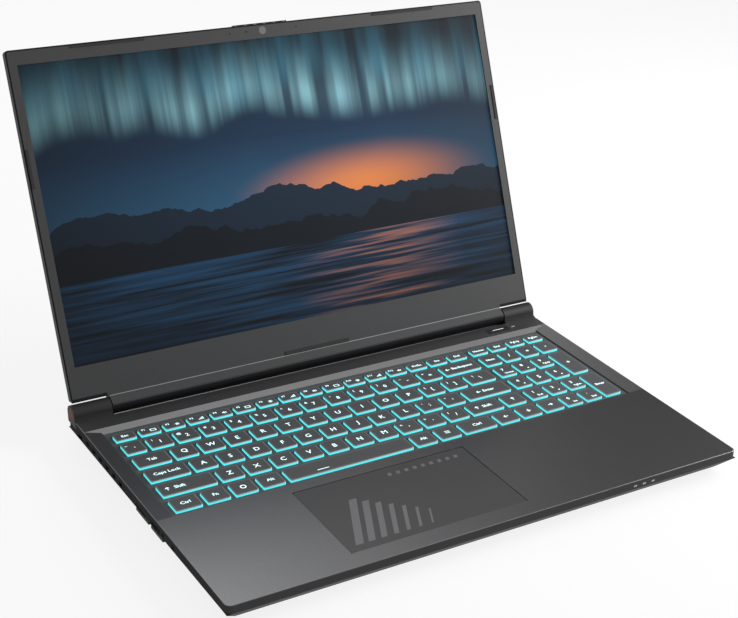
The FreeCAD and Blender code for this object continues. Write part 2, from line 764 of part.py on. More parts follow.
def fin_stack(x, y):
    plate = box(x, y, FLOOR, "56", "14", "0.5")
    top = box(x, y, f"{FLOOR} + fan_height - 0.5", "56", "14", "0.5")
    fins = [box(f"{x} + {i} * 5", y, FLOOR, "0.5", "14", "fan_height") for i in range(FINS)]
    return fuse(plate, top, *fins)


# Electronics and power
def electronics():
    top = "board_height + board_thickness"
    half = "(fan_x - fan_size / 2 - 3)"
    base_node("main_board", group(box(f"-{half}", "case_depth - 137", "board_height", f"2 * {half}", "111",
                                      "board_thickness")))
    base_node("chip_packages", group(
        box("-55", "case_depth - 88", top, "40", "34", "1.4"),
        box("20", "case_depth - 90", top, "38", "38", "1.4")))
    lid_height = f"{FLOOR} + fan_height - board_height - board_thickness - 1.4"
    base_node("cold_plates", group(
        box("-60", "case_depth - 92", f"{top} + 1.4", "50", "76", lid_height),
        box("15", "case_depth - 94", f"{top} + 1.4", "48", "78", lid_height)))
    base_node("memory_modules", group(
        *[box("-74", f"case_depth - 134 + {i} * 20", top, "69.6", "18", "2.8") for i in range(2)]))
    base_node("expansion_cards", group(
        box("0", "case_depth - 134", top, "74", "22", "2.4"),
        box("30", "case_depth - 110", top, "30", "14", "2")))
    base_node("battery_pack", group(box(
        "-0.305 * case_width", "14", FLOOR, "0.61 * case_width", "case_depth - 162",
        "deck_height - tray_depth - foot_height - wall - 2.1")))
    speakers = [box(side_span(side, "case_width / 2 - 60", "44"), "26", FLOOR, "44", "46", "6")
                for name, side in SIDES]
    base_node("speakers", group(*speakers))


def hinge_brackets():
    plates = [box(side_span(side, "tower_inner - 14", "32"), "tray_back + frame_margin + 1",
                  "deck_height - tray_depth - 2", "32",
                  "rear_edge - 2 * wall - tray_back - frame_margin", "2") for name, side in SIDES]
    base_node("hinge_brackets", group(*plates))


# Lid, drawn flat: X along the hinge, Y up the lid from the hinge line, Z out of the screen
LID_BACK = "(lid_front - lid_thickness)"
BEZEL_BACK = "(lid_front - bezel_thickness)"
BEZEL_HALF = "(lid_half - lid_rim)"
SPINE_HALF = "(tower_inner - tower_play)"


def lid_cover():
    body = new_body("lid_shell")
    plan = rectangle("-lid_half", "lid_bottom", "lid_half", "lid_top")
    pad(body, outline(body, "XY_Plane", plan, lift=LID_BACK), "lid_thickness - rim_drop")
    round_edges(body, "lid_corner", upright)
    round_edges(body, "lid_edge", lambda edge: level_at(edge, CELLS["lid_front"] - CELLS["lid_thickness"]))
    body_box(body, "Additive", "-lip_half", "lid_top - 4", LID_BACK, "2 * lip_half", "4 + lip_rise", "3")
    body_box(body, "Additive", f"-{SPINE_HALF}", "0", LID_BACK, f"2 * {SPINE_HALF}", "lid_bottom",
             "lid_thickness")
    body_rod(body, "Additive", f"-{SPINE_HALF}", "0", "0", "barrel_radius", f"2 * {SPINE_HALF}")
    body_box(body, "Subtractive", "-lid_half + wall", "lid_bottom + wall", f"{LID_BACK} + wall",
             "2 * (lid_half - wall)", "lid_top - lid_bottom - 2 * wall", "lid_thickness")
    body_box(body, "Subtractive", f"-{BEZEL_HALF}", "lid_bottom", BEZEL_BACK, f"2 * {BEZEL_HALF}",
             "lid_top - lid_rim - lid_bottom", "lid_thickness")
    for name, side in SIDES:
        body_rod(body, "Subtractive", side_span(side, f"{SPINE_HALF} - arm_length", "arm_length + 1"),
                 "0", "0", "pin_radius", "arm_length + 1")
    lid_node("lid_cover", body)


def screen_bezel():
    body = new_body("bezel_plate")
    plan = rectangle(f"-{BEZEL_HALF}", "lid_bottom", BEZEL_HALF, "lid_top - lid_rim")
    pad(body, outline(body, "XY_Plane", plan, lift=BEZEL_BACK), "bezel_thickness")
    round_edges(body, "lid_corner - lid_rim",
                lambda edge: upright(edge) and edge.CenterOfMass.y > CELLS["lid_top"] / 2)
    body_box(body, "Subtractive", "-screen_half", "screen_bottom", "-9",
             "2 * screen_half", "screen_height", "20")
    lens = rod("camera_x", "screen_bottom + screen_height + camera_rise", "-5", "camera_radius", "10")
    lid_node("screen_bezel", cut(body, lens))


def display_panel():
    thick = "lid_thickness - wall - bezel_thickness"
    lid_node("display_panel", group(box(
        "-screen_half - panel_margin", "screen_bottom - 2 * panel_margin", f"{LID_BACK} + wall",
        "2 * (screen_half + panel_margin)", "screen_height + 3 * panel_margin", thick)))


def camera_module():
    y = "screen_bottom + screen_height + camera_rise"
    lens = rod("camera_x", y, BEZEL_BACK, "camera_radius", "bezel_thickness")
    board = box("camera_x - 30", f"{y} - 1.8", f"{BEZEL_BACK} - 1.5", "60", "4.4", "1.5")
    lid_node("camera_module", fuse(lens, board))


def lid_bumpers():
    strips = []
    for name, side in SIDES:
        strips.append(box(side_span(side, "0.482 * lid_half", "50"), "lid_top - lid_rim - 1.5",
                          "lid_front", "50", "1.4", "bumper_rise"))
        strips.append(box(side_span(side, f"{BEZEL_HALF} - 1.9", "1.8"), "0.625 * lid_top",
                          "lid_front", "1.8", "25", "bumper_rise"))
    strips.append(box("-25", "lid_bottom + 0.2", "lid_front", "50", "2.6", "bumper_rise"))
    lid_node("lid_bumpers", group(*strips))


def hinge_arms():
    arms = []
    for name, side in SIDES:
        reach = "arm_length + tower_play + pin_reach - 1"
        inner = side_span(side, f"{SPINE_HALF} - arm_length", reach)
        arms.append(rod(inner, "0", "0", "pin_radius", reach, "x"))
    lid_node("hinge_arms", group(*arms))


def build():
    for make in (top_case, hinge_covers, bottom_cover, status_lights, case_screws, rubber_feet, keyboard,
                 touchpad, power_button, sockets, cooling, electronics, hinge_brackets, lid_cover,
                 screen_bezel, display_panel, camera_module, lid_bumpers, hinge_arms):
        make()
    doc.recompute()


def check():
    """Stop before anything is written if a feature or a finished shape is bad."""
    for item in doc.Objects:
        if {"Invalid", "Error"} & set(item.State):
            raise SystemExit(f"{item.Name} ({item.Label}) failed: {item.State}")
    for name, item in NODES.items():
        if item.Shape.isNull() or not item.Shape.isValid():
            raise SystemExit(f"{name} has a bad shape")


def write():
    os.makedirs("parts", exist_ok=True)
    for name, item in NODES.items():
        item.Shape.exportStep(f"parts/{name}.step")


build()
check()
write()
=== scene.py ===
# A notebook computer standing open on a pale table, seen from its front left corner.
import bmesh
import bpy
import json
import math
from mathutils import Matrix, Vector


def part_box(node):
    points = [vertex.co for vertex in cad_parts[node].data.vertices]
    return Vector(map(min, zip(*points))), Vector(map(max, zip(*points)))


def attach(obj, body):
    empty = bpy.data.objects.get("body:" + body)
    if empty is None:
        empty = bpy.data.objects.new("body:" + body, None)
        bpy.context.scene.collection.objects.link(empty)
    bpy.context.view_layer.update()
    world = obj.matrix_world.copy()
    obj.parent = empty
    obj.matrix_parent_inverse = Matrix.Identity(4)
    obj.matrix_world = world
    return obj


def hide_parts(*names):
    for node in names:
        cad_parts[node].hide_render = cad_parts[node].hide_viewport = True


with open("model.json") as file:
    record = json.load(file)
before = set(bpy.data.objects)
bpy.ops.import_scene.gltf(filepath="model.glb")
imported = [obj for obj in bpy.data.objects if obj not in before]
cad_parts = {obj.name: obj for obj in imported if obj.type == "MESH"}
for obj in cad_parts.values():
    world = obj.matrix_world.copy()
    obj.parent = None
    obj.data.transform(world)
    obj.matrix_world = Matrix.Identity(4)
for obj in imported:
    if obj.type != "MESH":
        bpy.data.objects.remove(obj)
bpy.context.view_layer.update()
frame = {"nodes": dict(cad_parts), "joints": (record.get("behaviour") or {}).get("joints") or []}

# Bottom cover, hinge caps and inner housings
# Injection moulded ABS, dyed black. The tool is spark eroded, so the skin has a fine even grain.
# The tub snaps and screws to the top case; the caps close over the hinge pins.


def linear(code):
    """Linear colour, with alpha, of an sRGB hex value."""
    parts = [int(code[i:i + 2], 16) / 255 for i in (1, 3, 5)]
    return [p / 12.92 if p <= 0.04045 else ((p + 0.055) / 1.055) ** 2.4 for p in parts] + [1.0]


def add(tree, kind, settings=None, links=None):
    """New node with its settings, by input or attribute, and the sockets that feed its inputs."""
    made = tree.nodes.new(kind)
    for key, value in (settings or {}).items():
        if isinstance(key, int) or key in made.inputs:
            made.inputs[key].default_value = value
        else:
            setattr(made, key, value)
    for key, socket in (links or {}).items():
        tree.links.new(socket, made.inputs[key])
    return made


def surface(name, **sockets):
    """New material whose shader takes these plain values."""
    made = bpy.data.materials.new(name)
    made.use_nodes = True
    shader = made.node_tree.nodes["Principled BSDF"]
    for key, value in sockets.items():
        shader.inputs[key.replace("_", " ").title().replace("Ior", "IOR")].default_value = value
    return made


def colour_stops(ramp, stops):
    """Give a colour ramp its stops, each a position and a hex value, from low to high."""
    for position, _ in stops[1:-1]:
        ramp.elements.new(position)
    for stop, (position, code) in zip(ramp.elements, stops):
        stop.position = position
        stop.color = linear(code)


def grained(name, dark, light, grain, depth, smooth, rough, **sockets):
    """Surface whose tone, shine and relief follow one fine grain; grain and depth in millimetres."""
    made = surface(name, **sockets)
    tree = made.node_tree
    shader = tree.nodes["Principled BSDF"]
    place = add(tree, "ShaderNodeTexCoord")
    speck = add(tree, "ShaderNodeTexNoise", {"Scale": 1000 / grain, "Detail": 3.0},
                {"Vector": place.outputs["Object"]})
    tone = add(tree, "ShaderNodeValToRGB", None, {"Fac": speck.outputs["Fac"]})
    colour_stops(tone.color_ramp, ((0.3, dark), (0.7, light)))
    shine = add(tree, "ShaderNodeMapRange", {"To Min": smooth, "To Max": rough},
                {"Value": speck.outputs["Fac"]})
    relief = add(tree, "ShaderNodeBump", {"Strength": 0.35, "Distance": depth / 1000},
                 {"Height": speck.outputs["Fac"]})
    tree.links.new(tone.outputs["Color"], shader.inputs["Base Color"])
    tree.links.new(shine.outputs["Result"], shader.inputs["Roughness"])
    tree.links.new(relief.outputs["Normal"], shader.inputs["Normal"])
    return made


def dress(material, *nodes):
    for name in nodes:
        mesh = frame["nodes"][name].data
        mesh.materials.clear()
        mesh.materials.append(material)


# Grain drawn at 0.5 mm, coarser than the real 0.1 mm, so that it shows
black_abs = grained("black_moulded_abs", "#1c1c1d", "#242425", 0.5, 0.02, 0.5, 0.62, specular_ior_level=0.25)
dress(black_abs, "bottom_cover", "hinge_covers", "fan_housings", "fan_rotor_left", "fan_rotor_right",
      "speakers", "battery_pack", "audio_jacks", "power_inlet")

# Rubber feet and lid bumpers
# Strips of black nitrile rubber glued under the tub and round the bezel. Cut sheet: dull, a little dusty.

nitrile = grained("cut_nitrile_rubber", "#161616", "#202020", 0.8, 0.03, 0.75, 0.9)
dress(nitrile, "rubber_feet", "lid_bumpers")

# Boards, cooling and sockets inside the base
# Green-black glass epoxy boards, drawn copper pipes, stamped nickel silver shells.
# They show only through the grilles and socket openings.

epoxy = grained("solder_masked_epoxy", "#0e1f1a", "#142a22", 2.0, 0.02, 0.35, 0.5)
copper = grained("drawn_copper", "#a5653f", "#b87548", 3.0, 0.01, 0.25, 0.4, metallic=1.0)
nickel = grained("stamped_nickel_silver", "#8e8f90", "#a2a3a4", 1.5, 0.01, 0.25, 0.4, metallic=1.0)
dress(epoxy, "main_board", "memory_modules", "expansion_cards", "chip_packages")
dress(copper, "heat_pipes", "cold_plates")
dress(nickel, "fin_stacks", "keyboard_backplate", "hinge_brackets", "hinge_arms", "case_screws")
dress(nickel, "left_data_socket", "network_jack", "right_data_sockets", "card_slot", "display_socket",
      "compact_display_socket", "round_edge_socket")

# Case screws
# Eight zinc plated pan heads with a cross recess, sunk in the tub.
# The recess is two dark bars let into the head, their black a painted shade.

SCREW_RADIUS, SCREW_FACE = 0.0023, 0.00125
RIM_SHARE, HEAD_HIGH = 0.86, 0.0008
CROSS_LONG, CROSS_WIDE, CROSS_HIGH, CROSS_LIFT = 0.0026, 0.0006, 0.0004, 0.00015
recess_shade = surface("recess_shadow", base_color=linear("#0c0c0c"), roughness=0.8)


def repeated(name, spots, tree, sizes):
    """Plain mesh of a node tree run on points, its sizes set by name."""
    mesh = bpy.data.meshes.new(name)
    mesh.from_pydata([tuple(spot) for spot in spots], [], [])
    holder = bpy.data.objects.new(name, mesh)
    bpy.context.scene.collection.objects.link(holder)
    maker = holder.modifiers.new(name, "NODES")
    maker.node_group = tree
    for socket in tree.interface.items_tree:
        if socket.name in sizes:
            maker[socket.identifier] = sizes[socket.name]
    seen = holder.evaluated_get(bpy.context.evaluated_depsgraph_get())
    made = bpy.data.meshes.new_from_object(seen)
    bpy.data.objects.remove(holder)
    piece = bpy.data.objects.new(name, made)
    bpy.context.scene.collection.objects.link(piece)
    return piece


def open_tree(name, *sizes):
    """Empty geometry tree with points in, mesh out and named sizes."""
    tree = bpy.data.node_groups.new(name, "GeometryNodeTree")
    tree.interface.new_socket("Geometry", in_out="INPUT", socket_type="NodeSocketGeometry")
    for size in sizes:
        tree.interface.new_socket(size, in_out="INPUT", socket_type="NodeSocketFloat")
    tree.interface.new_socket("Geometry", in_out="OUTPUT", socket_type="NodeSocketGeometry")
    return tree, add(tree, "NodeGroupInput")


tree, given = open_tree("screw_heads", "Head radius", "Rim radius")
head = add(tree, "GeometryNodeMeshCone", {"Vertices": 28, "Depth": HEAD_HIGH},
           {"Radius Top": given.outputs["Head radius"], "Radius Bottom": given.outputs["Rim radius"]})
whole = add(tree, "GeometryNodeJoinGeometry", None, {"Geometry": head.outputs["Mesh"]})
for wide, deep in ((CROSS_LONG, CROSS_WIDE), (CROSS_WIDE, CROSS_LONG)):
    bar = add(tree, "GeometryNodeMeshCube", {"Size": (wide, deep, CROSS_HIGH)})
    sunk = add(tree, "GeometryNodeTransform", {"Translation": (0, 0, CROSS_LIFT)},
               {"Geometry": bar.outputs["Mesh"]})
    noted = add(tree, "GeometryNodeStoreNamedAttribute",
                {"data_type": "BOOLEAN", "domain": "FACE", "Name": "recess", "Value": True},
                {"Geometry": sunk.outputs["Geometry"]})
    tree.links.new(noted.outputs["Geometry"], whole.inputs["Geometry"])
set_out = add(tree, "GeometryNodeInstanceOnPoints", None,
              {"Points": given.outputs["Geometry"], "Instance": whole.outputs["Geometry"]})
real = add(tree, "GeometryNodeRealizeInstances", None, {"Geometry": set_out.outputs["Instances"]})
zinc = add(tree, "GeometryNodeSetMaterial", {"Material": nickel}, {"Geometry": real.outputs["Geometry"]})
recess = add(tree, "GeometryNodeInputNamedAttribute", {"data_type": "BOOLEAN", "Name": "recess"})
crossed = add(tree, "GeometryNodeSetMaterial", {"Material": recess_shade},
              {"Geometry": zinc.outputs["Geometry"], "Selection": recess.outputs["Attribute"]})
add(tree, "NodeGroupOutput", None, {"Geometry": crossed.outputs["Geometry"]})


def islands(name):
    """Box of each separate solid in a node, from back to front and left to right."""
    shape = bmesh.new()
    shape.from_mesh(frame["nodes"][name].data)
    bmesh.ops.remove_doubles(shape, verts=shape.verts, dist=1e-6)
    todo, found = set(shape.verts), []
    while todo:
        start = todo.pop()
        group, edge = {start}, [start]
        while edge:
            here = edge.pop()
            for link in here.link_edges:
                other = link.other_vert(here)
                if other not in group:
                    group.add(other)
                    edge.append(other)
        todo -= group
        spots = [v.co for v in group]
        found.append((Vector([min(p[i] for p in spots) for i in range(3)]),
                      Vector([max(p[i] for p in spots) for i in range(3)])))
    shape.free()
    return sorted(found, key=lambda pair: (-round(pair[1].y, 3), pair[0].x))


screw_spots = [Vector(((low.x + high.x) / 2, (low.y + high.y) / 2, SCREW_FACE))
               for low, high in islands("case_screws")]
screw_heads = repeated("screw_heads", screw_spots, tree, {
    "Head radius": SCREW_RADIUS, "Rim radius": RIM_SHARE * SCREW_RADIUS})
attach(screw_heads, "base")
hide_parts("case_screws")

# Top case
# Pressed aluminium sheet, blasted and painted dark metallic grey. Flake in the paint gives a satin
# sheen that follows the light, so the palm rest runs from pale grey to near black.

satin_grey = grained("satin_metallic_paint", "#727273", "#7c7c7d", 0.45, 0.01, 0.32, 0.4,
                     specular_ior_level=0.0)
dress(satin_grey, "top_case")
# The upright walls are painted darker and dull, with no metal: painted shade that fades out as the faces turn
# upwards
SHADE_FADES_FROM, SHADE_GONE_AT, TOP_METALLIC = 0.6, 0.88, 0.97
tree = satin_grey.node_tree
shader = tree.nodes["Principled BSDF"]
facing = add(tree, "ShaderNodeTexCoord")
rise = add(tree, "ShaderNodeSeparateXYZ", None, {"Vector": facing.outputs["Normal"]})
wall_shade_mask = add(tree, "ShaderNodeMapRange",
            {"From Min": SHADE_FADES_FROM, "From Max": SHADE_GONE_AT, "To Max": TOP_METALLIC},
            {"Value": rise.outputs["Z"]})
wall_shade_mix = add(tree, "ShaderNodeMix", {"data_type": "RGBA", 6: linear("#4a4a4b")},
           {"Factor": wall_shade_mask.outputs["Result"], 7: shader.inputs["Base Color"].links[0].from_socket})
tree.links.new(wall_shade_mix.outputs[2], shader.inputs["Base Color"])
tree.links.new(wall_shade_mask.outputs["Result"], shader.inputs["Metallic"])

# Side vents
# Six slots a side, each with slanted bars moulded into its ends, so that it reads as a leaning slot.

VENT_PITCH, VENT_COUNT, VENT_HALF = 0.011, 6, 0.0030
BAR_DEPTH, BAR_WIDTH, BAR_HEIGHT, BAR_LEAN = 0.0014, 0.0007, 0.0042, math.radians(28)
# The first slot, from the outer, rear and upper faces of the top case
VENT_INSET, VENT_AHEAD, VENT_DROP = 0.0011, 0.089, 0.0047
case_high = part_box("top_case")[1]
first_vent = case_high - Vector((VENT_INSET, VENT_AHEAD, VENT_DROP))
tree, given = open_tree("vent_bars", "Bar depth", "Bar width", "Bar height", "Lean")
bar_size = add(tree, "ShaderNodeCombineXYZ", None, {
    "X": given.outputs["Bar depth"], "Y": given.outputs["Bar width"], "Z": given.outputs["Bar height"]})
bar = add(tree, "GeometryNodeMeshCube", None, {"Size": bar_size.outputs["Vector"]})
leaning = add(tree, "ShaderNodeCombineXYZ", None, {"X": given.outputs["Lean"]})
set_out = add(tree, "GeometryNodeInstanceOnPoints", None, {
    "Points": given.outputs["Geometry"], "Instance": bar.outputs["Mesh"],
    "Rotation": leaning.outputs["Vector"]})
real = add(tree, "GeometryNodeRealizeInstances", None, {"Geometry": set_out.outputs["Instances"]})
painted = add(tree, "GeometryNodeSetMaterial", {"Material": black_abs},
              {"Geometry": real.outputs["Geometry"]})
add(tree, "NodeGroupOutput", None, {"Geometry": painted.outputs["Geometry"]})
bar_spots = [Vector((side * first_vent.x, first_vent.y + i * VENT_PITCH + end * VENT_HALF, first_vent.z))
             for side in (-1, 1) for i in range(VENT_COUNT) for end in (-1, 1)]
vent_bars = repeated("vent_bars", bar_spots, tree, {
    "Bar depth": BAR_DEPTH, "Bar width": BAR_WIDTH, "Bar height": BAR_HEIGHT, "Lean": BAR_LEAN})
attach(vent_bars, "base")

# Keyboard frame
# Thin moulded web, flush between the keys, dyed dark grey and lit from under by the key light.

web_abs = grained("web_moulded_abs", "#45494a", "#4d5152", 0.5, 0.02, 0.45, 0.55)
dress(web_abs, "keyboard_frame")

# Keycaps
# Low flat caps of black ABS with a clear skirt. The skirt carries the cyan light of the diodes below,
# and the top is laser etched through its paint for the legends.

KEY_NODES = [name for name in frame["nodes"] if name.endswith(("_key", "_keys")) or name == "space_bar"]
CAP_CORNER, CORNER_LEAST, CORNER_STEPS = 0.0019, 0.0003, 4
# Each ring's inset and its share of the cap's height, then the material of each band between two rings
CAP_RINGS = ((0.0, 0.0), (0.00008, 0.66), (0.0002, 0.9), (0.00055, 1.0), (0.0009, 0.998), (0.0016, 0.985))
CAP_PARTS = (1, 2, 3, 3, 0)

cap_abs = grained("painted_key_abs", "#47484a", "#4f5052", 0.4, 0.015, 0.42, 0.52)
lit_skirt = surface("lit_clear_skirt", base_color=linear("#2a8f96"), roughness=0.3,
                    emission_color=linear("#4cecf2"), emission_strength=1.1)
# The frosted lip glows pale: partly the key light showing through it, partly a painted highlight along the
# cap's rim
frosted_lip = surface("frosted_cap_lip", base_color=linear("#a9bcbe"), roughness=0.45,
                      emission_color=linear("#9fe9ee"), emission_strength=0.3)
# The lighter ring round the top edge of each cap is a painted highlight
cap_edge_highlight = grained("key_edge_painted_highlight", "#6c6d6e", "#7b7c7d", 0.4, 0.01, 0.35, 0.45)


def rounded_ring(shape, low, high, inset, height):
    """Ring of vertices round a rectangle with rounded corners."""
    radius = max(CAP_CORNER - inset, CORNER_LEAST)
    corners = ((high.x, high.y, 1, 1), (low.x, high.y, -1, 1), (low.x, low.y, -1, -1), (high.x, low.y, 1, -1))
    ring = []
    for turn, (x, y, x_side, y_side) in enumerate(corners):
        for step in range(CORNER_STEPS + 1):
            angle = math.pi / 2 * (turn + step / CORNER_STEPS)
            ring.append(shape.verts.new((x - x_side * (inset + radius) + radius * math.cos(angle),
                                         y - y_side * (inset + radius) + radius * math.sin(angle), height)))
    return ring


def bridge(shape, lower, upper, material=0, smooth=True):
    for i in range(len(lower)):
        face = shape.faces.new((lower[i - 1], lower[i], upper[i], upper[i - 1]))
        face.material_index = material
        face.smooth = smooth


def finished(name, shape, body, materials, facing=None):
    """Turn a built shape into a piece that rides on a body; a flat print faces one given way."""
    mesh = bpy.data.meshes.new(name)
    bmesh.ops.recalc_face_normals(shape, faces=shape.faces)
    if facing:
        shape.normal_update()
        wrong = [face for face in shape.faces if face.normal.dot(Vector(facing)) < 0]
        bmesh.ops.reverse_faces(shape, faces=wrong)
    shape.to_mesh(mesh)
    shape.free()
    for material in materials:
        mesh.materials.append(material)
    piece = bpy.data.objects.new(name, mesh)
    bpy.context.scene.collection.objects.link(piece)
    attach(piece, body)
    return piece


KEYS = {name: islands(name) for name in KEY_NODES}
for name, boxes in KEYS.items():
    caps = bmesh.new()
    for low, high in boxes:
        rings = [rounded_ring(caps, low, high, inset, low.z + share * (high.z - low.z))
                 for inset, share in CAP_RINGS]
        for lower, upper, part in zip(rings, rings[1:], CAP_PARTS):
            bridge(caps, lower, upper, part)
        caps.faces.new(rings[-1])
        caps.faces.new(rings[0][::-1])
    made = finished(name + "_caps", caps, name, (cap_abs, lit_skirt, frosted_lip, cap_edge_highlight))
    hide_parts(name)

# Key legends
# Letters etched through the paint, so that the white light of the cap's core shows through them.
# Words stand in the middle of a key, second signs are smaller and set to one side.

etched = surface("etched_lit_letters", base_color=linear("#dfffff"), roughness=0.5,
                 emission_color=linear("#d8fbff"), emission_strength=0.9)
# A bar parts a sign from the one typed with shift, a semicolon a digit from what stands under it
LEGENDS = {
    "function_row_keys": ["Esc"] + [f"F{i}" for i in range(1, 13)] + ["PrtSc", "Ins", "Del"],
    "navigation_keys": ["Home", "End", "PgUp", "PgDn"],
    "grave_key": ["`|~"],
    "number_row_keys": [a + "|" + b for a, b in zip("1234567890-=", "!@#$%^&*()_+")],
    "backspace_key": ["<Backspace"],
    "tab_key": ["Tab"],
    "upper_letter_keys": list("QWERTYUIOP") + ["[|{", "]|}"],
    "backslash_key": ["\\||"],
    "caps_key": ["Caps Lock"],
    "home_letter_keys": list("ASDFGHJKL") + [";|:", "'|\""],
    "enter_key": ["<Enter"],
    "left_shift_key": ["^Shift"],
    "lower_letter_keys": list("ZXCVBNM") + [",|<", ".|>", "/|?"],
    "right_shift_key": ["^Shift"],
    "left_control_key": ["Ctrl"],
    "modifier_keys": ["Fn", "ring", "Alt", "Alt", "menu"],
    "space_bar": ["dash"],
    "right_control_key": ["Ctrl"],
    "arrow_keys": ["up", "left", "down", "right"],
    "numpad_keys": ["Num", "/", "*", "-", "7;Home", "8;up", "9;PgUp", "4;left", "5", "6;right",
                    "1;End", "2;down", "3;PgDn", "0;Ins", ".;Del"],
    "numpad_plus_key": ["+"],
    "numpad_enter_key": ["Enter"],
}
LETTER_HIGH, WORD_HIGH, SMALL_HIGH = 0.0056, 0.0041, 0.0035
PAIR_HIGH, SHIFTED_HIGH = SMALL_HIGH * 1.4, SMALL_HIGH * 0.9
UNDER_HIGH, NUMBER_HIGH = SMALL_HIGH * 0.8, SMALL_HIGH * 0.75
PAIR_SPOT, SHIFTED_SPOT = Vector((0.0004, -0.0006, 0)), Vector((-0.0042, 0.0024, 0))
DIGIT_SPOT, UNDER_SPOT = Vector((-0.0012, 0.0015, 0)), Vector((0.0013, -0.0036, 0))
NUMBER_SPOT, ICON_SPOT = Vector((-0.0038, 0.0014, 0)), Vector((0.0022, -0.0006, 0))
ARROWED_SPOT, ARROW_STEP = Vector((0.002, 0, 0)), Vector((-0.001, 0, 0))
DASH_SPOT = Vector((-0.02, -0.0035, 0))
LIFT, STROKE = 0.00004, 0.00006
LONG_KEY_SHIFT, WORD_KEY_LEAST = 0.0065, 0.014
ARROW_TURNS = {"up": 0, "left": 90, "down": 180, "right": 270}
SIDE_ARROWS = {"<": "left", "^": "up"}
# Outlines of the signs, in millimetres
ARROW_HEAD = ((-1.7, 0.1), (0, 1.8), (1.7, 0.1), (0.9, 0.1), (0, 1.0), (-0.9, 0.1))
SMALL_ARROW = ((-0.8, -0.6), (0.8, -0.6), (0, 0.9))
HORN = ((-1.6, -0.6), (-0.8, -0.6), (0.2, -1.5), (0.2, 1.5), (-0.8, 0.6), (-1.6, 0.6))
RING_INNER, RING_OUTER, RING_SIDES = 1.3, 2.0, 16
# The typeface's M fills up when its strokes are thickened, so it is drawn by its outline too
LETTER_M = ((-1.84, -1.98), (-1.2, -1.98), (-1.2, 1.05), (0, -0.38), (1.2, 1.05), (1.2, -1.98),
            (1.84, -1.98), (1.84, 1.98), (1.2, 1.98), (0, 0.55), (-1.2, 1.98), (-1.84, 1.98))


def lettering(words, size):
    """Flat outline of a word, centred on its own middle."""
    curve = bpy.data.curves.new("word", "FONT")
    curve.body = words
    curve.size = size
    curve.offset = STROKE
    curve.resolution_u = 2
    holder = bpy.data.objects.new("word", curve)
    flat = bpy.data.meshes.new_from_object(holder)
    bpy.data.objects.remove(holder)
    bpy.data.curves.remove(curve)
    spots = [v.co for v in flat.vertices]
    middle = Vector(((min(p.x for p in spots) + max(p.x for p in spots)) / 2,
                     (min(p.y for p in spots) + max(p.y for p in spots)) / 2, 0))
    flat.transform(Matrix.Translation(-middle))
    return flat


def stamp(shape, words, size, spot):
    flat = lettering(words, size)
    flat.transform(Matrix.Translation(spot))
    shape.from_mesh(flat)
    bpy.data.meshes.remove(flat)


def oblong(left, low, right, high):
    return (left, low), (right, low), (right, high), (left, high)


def circle(radius, sides):
    return [(radius * math.cos(math.tau * i / sides), radius * math.sin(math.tau * i / sides))
            for i in range(sides)]


def polygon(shape, spot, points, turn=0.0):
    """Flat shape from points in millimetres about a spot."""
    spin = Matrix.Rotation(math.radians(turn), 3, "Z")
    shape.faces.new([shape.verts.new(spot + spin @ Vector((x / 1000, y / 1000, 0))) for x, y in points])


def mark(shape, sign, spot):
    """Signs drawn by their outlines: arrow, M, dash, menu lines and ring."""
    if sign in ARROW_TURNS:
        polygon(shape, spot, ARROW_HEAD, ARROW_TURNS[sign])
        polygon(shape, spot, oblong(-0.25, -1.8, 0.25, 0.9), ARROW_TURNS[sign])
    elif sign == "M":
        polygon(shape, spot, LETTER_M)
    elif sign == "dash":
        polygon(shape, spot + DASH_SPOT, oblong(-4, -0.3, 4, 0.3))
    elif sign == "menu":
        for rise in (-1.2, 0, 1.2):
            polygon(shape, spot, oblong(-1.8, rise - 0.22, 1.8, rise + 0.22))
    else:
        inner, outer = circle(RING_INNER, RING_SIDES), circle(RING_OUTER, RING_SIDES)
        for i in range(RING_SIDES):
            polygon(shape, spot, (inner[i - 1], outer[i - 1], outer[i], inner[i]))


def icon(shape, number, spot):
    """Small plain signs of the function keys: loudspeaker, screen, sun and bars."""
    if number % 4 == 0:
        polygon(shape, spot, HORN)
        polygon(shape, spot, oblong(0.8, -0.9, 1.3, 0.9))
    elif number % 4 == 1:
        for edge in (oblong(-2, -1.4, 2, -0.9), oblong(-2, 0.9, 2, 1.4),
                     oblong(-2, -0.9, -1.5, 0.9), oblong(1.5, -0.9, 2, 0.9)):
            polygon(shape, spot, edge)
    elif number % 4 == 2:
        polygon(shape, spot, circle(1.0, 12))
        for i in range(8):
            polygon(shape, spot, oblong(-0.15, 1.3, 0.15, 1.8), 45 * i)
    else:
        for step, tall in enumerate((0.8, 1.6, 2.4, 3.2)):
            left = step - 2.0
            polygon(shape, spot, oblong(left, -1.5, left + 0.6, tall - 1.5))


